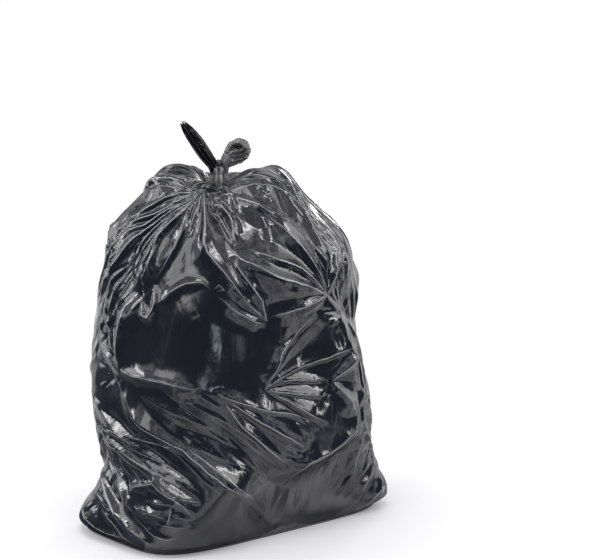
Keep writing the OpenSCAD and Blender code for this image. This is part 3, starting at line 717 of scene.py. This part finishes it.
def make_film():
    creases, pale = crease_list()
    u = np.tile(column_u, (ROWS, 1))
    v = np.tile(row_v[:, None], (1, COLUMNS))
    points = film_points(u, v, creases)
    piece = new_object("film", points.reshape(-1, 3), sharp_faces(points), creased_film_painted_highlights)
    # Where the painted highlight lines on crests go, and how strong they are, kept on the film's points
    for name, values in zip(("crest_way", "crest_highlight_strength"), crest_highlight_lines(u, v, pale)):
        values = np.append(values.ravel(), np.zeros(len(piece.data.vertices) - values.size))
        piece.data.attributes.new(name, "FLOAT", "POINT").data.foreach_set("value", values)
    return piece


# Places round the knot: how far to the right of its foot, to the front and up, as the camera sees it
face_turn = np.radians(FACE_AZIMUTH)
RIGHT = np.array([-np.sin(face_turn), np.cos(face_turn), 0])
FRONT = np.array([np.cos(face_turn), np.sin(face_turn), 0])
SEEN_AXES = np.array([RIGHT, FRONT, (0, 0, 1)])


def from_knot(points):
    return NECK - MIDDLE + np.asarray(points, float) @ SEEN_AXES


def curve(controls, count):
    """Even steps in the parameter of a smooth curve through control values."""
    last = len(controls) - 1
    return interpolate(np.arange(last + 1.0), np.array(controls, float), np.linspace(0, last, count))


# A girth so long that a piece's other side is out of reach, for the pieces that aren't closed
OPEN = 1000


def fine_creases(u, v, girth, segments):
    """Heights of creases on a small piece, closed across u; a segment is start, end, height, flank."""
    ridges = np.zeros(u.shape)
    valleys = np.zeros(u.shape)
    for start, end, height, flank in segments:
        for shift in (-girth, 0, girth):
            away, _ = near_segment(u, v, np.add(start, (shift, 0)), np.add(end, (shift, 0)))
            value = height * crest(away, flank, 0.7)
            ridges = np.maximum(ridges, value)
            valleys = np.minimum(valleys, value)
    return ridges + valleys


def strip_frame(spine, count, facing):
    """A strip's centres, and at each its run, its side, its front and the way from the strip's start."""
    centres = from_knot(curve(spine, count))
    run = np.gradient(centres, axis=0)
    run /= np.linalg.norm(run, axis=1, keepdims=True)
    side = np.cross(run, facing @ SEEN_AXES)
    side /= np.linalg.norm(side, axis=1, keepdims=True)
    steps = np.linalg.norm(np.diff(centres, axis=0), axis=1)
    return centres, run, side, np.cross(side, run), np.concatenate([[0], np.cumsum(steps)])


def spread_out(centres, side, out, x, y):
    """Places beside a strip's centres, x to the side and y to the front."""
    return centres[:, None, :] + x[..., None] * side[:, None, :] + y[..., None] * out[:, None, :]


def short_fold(hub, angle, length):
    """The two ends of a small fold."""
    return hub, (hub[0] + length * np.cos(angle), hub[1] + length * np.sin(angle))


def ring_faces(rings, sides):
    """The faces between rings of points."""
    faces = []
    for i in range(rings - 1):
        for j in range(sides):
            k = (j + 1) % sides
            faces.append((i * sides + j, i * sides + k, (i + 1) * sides + k, (i + 1) * sides + j))
    return faces


def closed_tube(name, points, material):
    """A piece through rings of points, with both ends closed."""
    rings, sides = points.shape[:2]
    ends = [tuple(range(sides - 1, -1, -1)), tuple(range((rings - 1) * sides, rings * sides))]
    return new_object(name, points.reshape(-1, 3), ring_faces(rings, sides) + ends, material)


def gathered_strip(name, spine, half_widths, half_depths, facing, pleats, crumples, height, seed, material):
    """A gathered length of film: a flattened tube along the spine, creased lengthwise and crumpled."""
    rng = np.random.default_rng(seed)
    rings = 110
    sides = 120
    centres, _, side, out, way = strip_frame(spine, rings, facing)
    wide = curve(half_widths, rings)[:, None]
    deep = curve(half_depths, rings)[:, None]
    turn = np.linspace(0, 2 * np.pi, sides, endpoint=False)
    girth = 2 * np.pi * 10
    u = np.tile(turn / (2 * np.pi) * girth, (rings, 1))
    v = np.tile(way[:, None], (1, sides))
    segments = []
    for k in range(pleats):
        x = (k + rng.uniform(0, 0.8)) * girth / pleats
        size = height * rng.uniform(0.5, 1.2) * either_way(rng, 0.6)
        points = [(x + rng.normal(0, 1.6), way[-1] * share) for share in (0, 0.25, 0.5, 0.75, 1)]
        segments += [(points[j], points[j + 1], size, 2.6) for j in range(4)]
    for _ in range(crumples):
        hub = (rng.uniform(0, girth), way[-1] * rng.uniform(0.1, 0.97))
        fold = short_fold(hub, rng.normal(np.pi / 2, 0.7), rng.uniform(4, 13))
        segments.append((*fold, height * rng.uniform(0.3, 1) * either_way(rng, 0.5), 1.5))
    lift = fine_creases(u, v, girth, segments) * np.minimum(1, wide / 9)
    cos = np.cos(turn)
    sin = np.sin(turn)
    size = np.hypot(cos / wide, sin / deep)
    x = wide * cos + lift * cos / wide / size
    y = deep * sin + lift * sin / deep / size
    return closed_tube(name, spread_out(centres, side, out, x, y), material)


def thickened(name, points, thickness, material, painted_sheen_fold):
    """A sheet of film given its thickness, from a grid of points; one fold of it takes the lighter gathered
    film, a painted sheen.
    """
    rows, columns = points.shape[:2]
    faces = [
        (i * columns + j, i * columns + j + 1, (i + 1) * columns + j + 1, (i + 1) * columns + j)
        for i in range(rows - 1)
        for j in range(columns - 1)
    ]
    piece = new_object(name, points.reshape(-1, 3), faces, material)
    # Faces of the chosen fold get the lighter gathered film: a painted sheen.
    piece.data.materials.append(gathered_film_painted_sheen)
    for face in piece.data.polygons:
        row, column = divmod(face.index, columns - 1)
        if painted_sheen_fold(row / rows, column / columns):
            face.material_index = 1
    solid = piece.modifiers.new("thickness", "SOLIDIFY")
    solid.thickness = thickness / 1000
    solid.offset = 0
    bpy.context.view_layer.update()
    whole = bpy.data.meshes.new_from_object(piece.evaluated_get(bpy.context.evaluated_depsgraph_get()))
    piece.modifiers.clear()
    piece.data = whole
    return piece


def pleated_sheet(name, spine, half_widths, depths, facing, pleats, overlap, crumples, seed):
    """A flat end of film, folded into long pleats like a shut fan and crumpled."""
    rng = np.random.default_rng(seed)
    rows = 120
    columns = 150
    centres, run, side, out, way = strip_frame(spine, rows, facing)
    t = np.linspace(-1, 1, columns)[None, :]
    wide = curve(half_widths, rows)[:, None]
    deep = curve(depths, rows)[:, None]
    way = way[:, None]
    share = way / way[-1]
    drift = 0.5 * np.sin(2.1 * share + 0.7 * t) + 0.25 * np.sin(5 * share - 2 * t)
    phase = np.pi * (pleats * (t + 1) / 2 + drift)
    zigzag = 2 / np.pi * np.arcsin(0.96 * np.sin(phase))
    x = wide * (t + overlap / pleats * np.sin(phase + 0.9))
    u = (t + 1) / 2 * 4 * wide.mean() + 0 * share
    v = way + 0 * t
    segments = []
    for _ in range(crumples):
        hub = (rng.uniform(0, 4 * wide.mean()), way[-1, 0] * rng.uniform(0.08, 1))
        fold = short_fold(hub, rng.normal(np.pi / 2, 0.9), rng.uniform(5, 16))
        segments.append((*fold, rng.uniform(-2.6, 2.6), 2.4))
    lift = deep * zigzag + fine_creases(u, v, OPEN, segments) * np.minimum(1, wide / 10)
    ragged = 2.5 * np.sin(7 * t + 1) + 1.5 * np.sin(17 * t)
    points = spread_out(centres, side, out, x, lift)
    points = points + (smooth((share - 0.8) / 0.2) * ragged)[..., None] * run[:, None, :]

    # The fold of the left ear that is painted lighter: a painted sheen along it.
    def painted_sheen_fold(along_it, across_it):
        middle = 0.79 + 0.03 * np.sin(14 * along_it)
        half_width = 0.09 * np.sin(np.pi * (along_it - 0.22) / 0.56)
        return 0.22 < along_it < 0.78 and abs(across_it - middle) < half_width

    return thickened(name, points, 0.8, black_film, painted_sheen_fold)


def make_left_ear():
    """The twisted neck's dark, flattened end, which leans left and ends in a blunt tip."""
    spine = [(2, 4, 17), (-2, 6, 32), (-14, 6, 50), (-30, 4, 72), (-41, 2, 88), (-49, 0, 98)]
    widths = [8, 9, 11.5, 11.5, 9, 3.5]
    return pleated_sheet("left_ear", spine, widths, [5, 5, 4.5, 3.5, 2.5, 1], (0.1, 1, 0.1), 7, 0.9, 34, 5)


# The right ear as the camera sees it: right of the knot's foot and up, in mm
EAR_CENTRE = (37, 52)
EAR_OUTLINE = [
    (22, 28), (15, 36), (14, 46), (17, 56), (22, 66), (31, 72), (41, 75), (50, 72), (56, 65), (58, 56),
    (55, 46), (48, 39), (38, 34), (29, 31),
]
HOOD_ROLL = [(17, 46), (19, 57), (27, 67), (41, 70), (51, 66), (54, 56), (51, 46)]
EAR_BAND = [(18, 44), (27, 51), (38, 54.5), (53, 62)]
EAR_HOLLOW = [(27, 64), (46, 61), (38, 57)]
EAR_FOLDS = [
    # Height, flank, line
    (3, 2.5, [(31, 70), (42, 66), (50, 60)]),
    (2.5, 2, [(24, 62), (33, 61), (38, 58)]),
    (-3, 2, [(22, 38), (24, 47), (32, 51)]),
    (2.5, 2, [(20, 33), (20, 43), (25, 50)]),
    (-4, 2.5, [(30, 49), (42, 51), (52, 56)]),
    (3, 1.8, [(31, 46), (41, 48), (50, 52)]),
    (-4, 2.5, [(33, 43), (42, 44), (51, 49)]),
    (3.5, 1.8, [(28, 37), (38, 41), (50, 44)]),
    (-3.5, 2, [(28, 35), (38, 37.5), (47, 41)]),
    (-3, 2, [(45, 72), (52, 64), (54, 54)]),
]


def near_line(x, y, line):
    """How far each place is from a line of several points."""
    away = np.full(x.shape, 1e6)
    for start, end in zip(line[:-1], line[1:]):
        away = np.minimum(away, np.abs(near_segment(x, y, np.array(start), np.array(end))[0]))
    return away


def roll_over(x, y, line, radius):
    """The rounded height, from 0 to 1, of a roll of film along a line."""
    return np.sqrt(np.maximum(0, 1 - (near_line(x, y, line) / radius) ** 2))


def make_right_ear():
    """The other end: a creased stem that spreads into a pad, folded over at the top into a hood.

    The twisted neck that shows between the two ears comes with them.
    """
    rng = np.random.default_rng(8)
    spine = [(14, -2, 0), (15, -1, 16), (17, 1, 28), (18, 2, 38), (22, 0, 48)]
    widths = [5, 5.5, 6, 8, 7]
    depths = [6, 6, 6, 6, 4]
    # The stem takes the gathered film, whose lighter colour is painted sheen.
    stem = gathered_strip("right_ear", spine, widths, depths, (-0.2, 1, 0), 9, 24, 3.2, 21, gathered_film_painted_sheen)
    rings = 90
    sides = 240
    turn = np.linspace(-np.pi, np.pi, sides, endpoint=False)
    outline = np.array(EAR_OUTLINE) - EAR_CENTRE
    corner_turn = np.arctan2(outline[:, 1], outline[:, 0])
    order = np.argsort(corner_turn)
    reach = np.interp(turn, corner_turn[order], np.hypot(*outline.T)[order], period=2 * np.pi)
    reach = reach * (1 + 0.02 * np.sin(9 * turn) + 0.015 * np.sin(23 * turn + 1))
    share = np.sin(np.linspace(0, np.pi / 2, rings))[:, None]
    x = EAR_CENTRE[0] + share * reach * np.cos(turn)
    y = EAR_CENTRE[1] + share * reach * np.sin(turn)
    edge = np.sqrt(np.maximum(0, 1 - share ** 5)) + 0 * x
    segments = []
    for height, flank, line in EAR_FOLDS:
        segments += [(start, end, height, flank) for start, end in zip(line[:-1], line[1:])]
    for _ in range(60):
        hub = (rng.uniform(15, 57), rng.uniform(32, 74))
        angle = rng.normal(0.6, 0.8)
        size = rng.uniform(0.6, 2.2) * either_way(rng, 0.5)
        segments.append((*short_fold(hub, angle, rng.uniform(4, 12)), size, 1.9))
    loop = EAR_HOLLOW + EAR_HOLLOW[:1]
    inside = np.full(x.shape, 1e6)
    for start, end in zip(loop[:-1], loop[1:]):
        way = np.subtract(end, start) / np.hypot(*np.subtract(end, start))
        inside = np.minimum(inside, way[1] * (x - start[0]) - way[0] * (y - start[1]))
    front = np.maximum(9 * roll_over(x, y, HOOD_ROLL, 6.5), 3 + 5 * roll_over(x, y, EAR_BAND, 5))
    front = front + fine_creases(x, y, OPEN, segments)
    front = front - (front + 6) * smooth((inside + 0.6) / 1.6)
    back = fine_creases(x, y, OPEN, [(*ends, -height, flank) for *ends, height, flank in segments]) - 6
    lean = -0.12 * (y - 30)
    places = [from_knot(np.stack([x, side * edge + lean, y], -1)).reshape(-1, 3) for side in (front, back)]
    faces = []
    for face in ring_faces(rings, sides):
        faces.append(face)
        faces.append(tuple(rings * sides + n for n in reversed(face)))
    # The pad and hood take the gathered film, whose lighter colour is painted sheen.
    pad = new_object("right_ear_hood", np.concatenate(places), faces, gathered_film_painted_sheen)
    spine = [(6, -2, 14), (6, -1, 26), (8, 0, 35), (10, 0, 40)]
    widths = [8, 9, 8, 4]
    depths = [5, 6, 5, 2]
    wad = gathered_strip("neck_between_ears", spine, widths, depths, (0, 1, 0), 7, 26, 3, 12, black_film)
    return [stem, pad, wad]


def make_collar():
    """The knot's band: film pulled tight round the neck in folds that meet in pairs at the top."""
    rng = np.random.default_rng(4)
    sides = 220
    # Each level: height, radius
    levels = [(-5, 8), (-3, 12), (0, 17), (5, 17), (12, 15), (19, 12), (26, 10), (30, 8), (32, 4)]
    profile = curve(levels, 90)
    lobes = 6
    girth = 2 * np.pi * 15
    turn = np.linspace(0, 2 * np.pi, sides, endpoint=False)
    u = np.tile(turn / (2 * np.pi) * girth, (len(profile), 1))
    v = np.tile(profile[:, 0:1], (1, sides))
    segments = []
    for k in range(lobes):
        top = (k + 0.5 + rng.uniform(-0.12, 0.12)) * girth / lobes
        spread = girth / lobes * 0.42
        for side in (-1, 1):
            foot = top + side * spread
            mid = top + side * spread * 0.6
            segments.append(((foot, -2), (mid, 13), 4, 3.2))
            segments.append(((mid, 13), (top, 27), 3.4, 3))
        segments.append(((top, -4), (top, 17), -4.5, 3))
        segments.append(((top + girth / lobes / 2, 0), (top + girth / lobes / 2, 26), -4, 2.4))
    for _ in range(50):
        hub = (rng.uniform(0, girth), rng.uniform(0, 32))
        end = (hub[0] + rng.normal(0, 2), hub[1] + rng.uniform(4, 12))
        segments.append((hub, end, rng.uniform(0.4, 1.1) * either_way(rng, 0.5), 1.1))
    lift = fine_creases(u, v, girth, segments) * smooth((32 - v) / 5) * smooth((v + 5) / 4)
    hem = -3 * np.cos(u / girth * 2 * np.pi * lobes) * smooth((10 - v) / 10)
    r = profile[:, 1:2] + lift
    around = turn + face_turn
    centre = NECK - MIDDLE + 7 * RIGHT
    points = np.stack([
        centre[0] + r * np.cos(around),
        centre[1] + r * np.sin(around),
        centre[2] + v + hem,
    ], -1)
    # The knot takes the gathered film, whose lighter colour is painted sheen.
    return closed_tube("knot", points, gathered_film_painted_sheen)


film = make_film()
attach(film, "root")
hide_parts("bin_bag")
for piece in (make_collar(), make_left_ear(), *make_right_ear()):
    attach(piece, "root")
    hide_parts("bin_bag")

# The camera, from the photograph's view, in metres and degrees
CAMERA_HEIGHT = 0.67
CAMERA_DISTANCE = 2.3
CAMERA_TILT = 7.1
SENSOR_WIDTH = 36
FOCAL_PX = 1447
PHOTO_WIDTH = 599
SACK_AXIS_PX = 232
to_right = Vector(RIGHT)
to_front = Vector(FRONT)
sack_axis = Vector((-MIDDLE[0] / 1000, -MIDDLE[1] / 1000, 0))
yaw = np.arctan((PHOTO_WIDTH / 2 - SACK_AXIS_PX) / FOCAL_PX)
tilt = np.radians(CAMERA_TILT)
level = -to_front * np.cos(yaw) + to_right * np.sin(yaw)
look = level * np.cos(tilt) - Vector((0, 0, np.sin(tilt)))
across = look.cross(Vector((0, 0, 1))).normalized()
camera_data = bpy.data.cameras.new("camera")
camera_data.sensor_width = SENSOR_WIDTH
camera_data.lens = SENSOR_WIDTH * FOCAL_PX / PHOTO_WIDTH
camera_data.clip_start = 0.05
camera = bpy.data.objects.new("camera", camera_data)
axes = Matrix((across, across.cross(look), -look)).transposed().to_4x4()
camera_place = sack_axis + to_front * CAMERA_DISTANCE + Vector((0, 0, CAMERA_HEIGHT))
camera.matrix_world = Matrix.Translation(camera_place) @ axes
bpy.context.scene.collection.objects.link(camera)
bpy.context.scene.camera = camera


# The height that the lamps aim at
SACK_MIDDLE = 0.3


def area_light(name, right, front, height, wide, tall, radiance, colour=(1, 1, 1)):
    """A soft box aimed at the sack, placed by its offsets from it as the camera sees them, in metres."""
    data = bpy.data.lights.new(name, "AREA")
    data.shape = "RECTANGLE"
    data.size = wide
    data.size_y = tall
    data.energy = radiance * np.pi * wide * tall
    data.color = colour
    light = bpy.data.objects.new(name, data)
    place = to_right * right + to_front * front + Vector((0, 0, height))
    aim = Vector((0, 0, SACK_MIDDLE)) - place
    light.matrix_world = Matrix.Translation(place) @ aim.to_track_quat("-Z", "Y").to_matrix().to_4x4()
    light.visible_camera = False
    bpy.context.scene.collection.objects.link(light)


area_light("left_box", -2.5, -0.5, 1.9, 1.6, 1.6, 1.6)
area_light("left_strip", -2.2, 0.1, 1.5, 0.14, 1.5, 9)
area_light("overhead", -0.3, 0.1, 2.6, 2.2, 1.1, 1.6)
area_light("overhead_strip", 0.1, 1.05, 2.3, 1.8, 0.12, 10)
area_light("right_box", 2.4, -0.3, 1.65, 1.3, 1.15, 1.4)
area_light("right_strip", 2.1, 0.45, 1.3, 0.14, 1.8, 9)
area_light("front_window", 0.72, 2.6, 0.58, 0.42, 0.22, 2.2, (0.8, 0.9, 1))
area_light("back_right_window", 0.95, -2.2, 1.25, 0.5, 0.75, 7)
area_light("left_low_window", -2.13, -0.86, 0.39, 0.5, 0.46, 3, (0.9, 0.95, 1))
area_light("front_left_window", -2.1, 1.9, 1.2, 0.4, 1.3, 0.6, (0.75, 0.86, 1))
area_light("front_left_high", -1.36, 1.72, 1.8, 1.6, 1.15, 1.4)
area_light("front_right_window", 1.9, 2.1, 1.0, 0.5, 1.1, 0.5, (0.75, 0.86, 1))


def dark_stage(name, points, faces, cloud_from, cloud_to, cloud_scale):
    """A black studio surface for the film to show; neither the camera nor the lamps see it.

    It is gauze: it covers from the first share to the second, in soft clouds.
    """
    mesh = bpy.data.meshes.new(name)
    mesh.from_pydata(points, [], faces)
    material, tree, shader = new_material(name)
    set_sockets(tree, shader, {"Base Color": (0.03, 0.036, 0.06, 1), "Roughness": 0.9})
    place = add_node(tree, "TexCoord", "Object")
    clouds = {"Vector": place, "Scale": cloud_scale, "Detail": 2, "Distortion": 0.6}
    cover = {
        "Value": add_node(tree, "TexNoise", "Fac", clouds),
        "From Min": 0.36,
        "From Max": 0.62,
        "To Min": cloud_from,
        "To Max": cloud_to,
    }
    covered = add_node(tree, "MapRange", "Result", cover)
    clear = add_node(tree, "BsdfTransparent", "BSDF")
    mix_surface(tree, "Material Output", covered, clear, shader.outputs["BSDF"])
    mesh.materials.append(material)
    panel = bpy.data.objects.new(name, mesh)
    panel.visible_camera = False
    panel.visible_shadow = False
    panel.visible_diffuse = False
    bpy.context.scene.collection.objects.link(panel)
    panel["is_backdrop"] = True


CARD_HEIGHT = 0.003
ARC_STEPS = 24
ARC_FACES = [(k, k + 1, ARC_STEPS + 2 + k, ARC_STEPS + 1 + k) for k in range(ARC_STEPS)]


def square(half, height):
    """The corners of a level square round the sack."""
    return [(x * half, y * half, height) for x, y in ((-1, -1), (1, -1), (1, 1), (-1, 1))]


def arc(past_face, spread, distance, height):
    """Points round the sack, spread to both sides of a place so many degrees past the shown face."""
    turns = np.radians(FACE_AZIMUTH + past_face + np.linspace(-spread, spread, ARC_STEPS + 1))
    return [(distance * np.cos(turn), distance * np.sin(turn), height) for turn in turns]


def dark_panel(name, past_face, spread, foot, top, cloud_from=1, cloud_to=1, distance=3.2):
    """An upright panel curved round the sack."""
    points = arc(past_face, spread, distance, foot) + arc(past_face, spread, distance, top)
    dark_stage(name, points, ARC_FACES, cloud_from, cloud_to, 1.6)


def dark_card(name, past_face, spread, near, far, cloud_from=1, cloud_to=1):
    """A card lying on the floor beside the sack."""
    points = arc(past_face, spread, near, CARD_HEIGHT) + arc(past_face, spread, far, CARD_HEIGHT)
    dark_stage(name, points, ARC_FACES, cloud_from, cloud_to, 7)


dark_panel("front_panel", 16, 58, -1.6, 1.35)
dark_panel("front_left_panel", -63, 21, -1.6, 1.1)
dark_panel("front_gauze", 16, 58, 1.35, 4.6, 0.15, 0.9)
dark_panel("left_gauze", -84, 42, 1.1, 4.6, 0.2, 0.9)
dark_panel("left_panel", -106, 22, -1.0, 1.15)
dark_panel("right_panel", 96, 20, -0.3, 1.3)
dark_panel("back_panel", -180, 24, 0.05, 1.0)
dark_panel("back_gauze", -172, 62, 1.0, 4.6, 0, 0.8)
dark_card("back_card", -180, 66, 0.15, 2.4, 0, 0.85)
dark_card("left_card", -73, 41, 0.15, 2.4, 0.8, 1)
dark_card("front_card", 1, 33, 0.15, 2.4, 0.15, 0.9)
dark_card("right_card", 70, 36, 0.15, 2.4, 0, 0.8)
dark_panel("right_gauze", 96, 22, 1.0, 4.6, 0, 0.75)
dark_panel("near_left_panel", -87, 15, 0.01, 0.58, distance=1.3)
dark_panel("near_front_left_panel", -40, 20, 0.01, 0.82, 0.5, 1, distance=1.3)
dark_stage("ceiling_gauze", square(2.6, 3.1), [(0, 1, 2, 3)], 0, 1, 2.2)

# The floor, which fades out round the sack where the camera sees it
FLOOR_HALF = 1.05
floor_mesh = bpy.data.meshes.new("floor")
floor_mesh.from_pydata(square(FLOOR_HALF, 0), [], [(0, 1, 2, 3)])
floor = bpy.data.objects.new("floor", floor_mesh)
bpy.context.scene.collection.objects.link(floor)
floor_material, tree, plain = new_material("pale_floor")
camera_ray = add_node(tree, "LightPath", "Is Camera Ray")
glow = add_node(tree, "Math", "Value", {0: camera_ray, 1: 0.12}, operation="MULTIPLY")
set_sockets(tree, plain, {"Base Color": (0.93, 0.93, 0.93, 1), "Roughness": 0.9})
set_sockets(tree, plain, {"Emission Color": (1, 1, 1, 1), "Emission Strength": glow})
away = add_node(tree, "VectorMath", "Value", {0: add_node(tree, "TexCoord", "Object")}, operation="LENGTH")
fading = {"Value": away, "From Min": 0.32, "From Max": 0.85}
fade = add_node(tree, "MapRange", "Result", fading, interpolation_type="SMOOTHERSTEP")
both = add_node(tree, "Math", "Value", {0: fade, 1: camera_ray}, operation="MULTIPLY")
clear = add_node(tree, "BsdfTransparent", "BSDF")
mix_surface(tree, "Material Output", both, plain.outputs["BSDF"], clear)
floor_mesh.materials.append(floor_material)
floor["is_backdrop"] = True

# The world: white where it is seen or reflected, and a light grey for the light that it gives
world = bpy.data.worlds.new("studio")
bpy.context.scene.world = world
world.use_nodes = True
tree = world.node_tree
background = tree.nodes["Background"]
background.inputs["Color"].default_value = (0.58, 0.58, 0.6, 1)
paths = tree.nodes.new("ShaderNodeLightPath").outputs
seen = {0: paths["Is Camera Ray"], 1: paths["Is Glossy Ray"]}
seen = add_node(tree, "Math", "Value", seen, operation="MAXIMUM")
shown = {0: seen, 1: paths["Is Transmission Ray"]}
shown = add_node(tree, "Math", "Value", shown, operation="MAXIMUM")
white = add_node(tree, "Background", "Background", {"Color": (1, 1, 1, 1)})
mix_surface(tree, "World Output", shown, background.outputs["Background"], white)

bpy.context.scene.view_settings.view_transform = "Standard"

[[list(map(float, corner)) for corner in box] for box in (cad_box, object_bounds())]
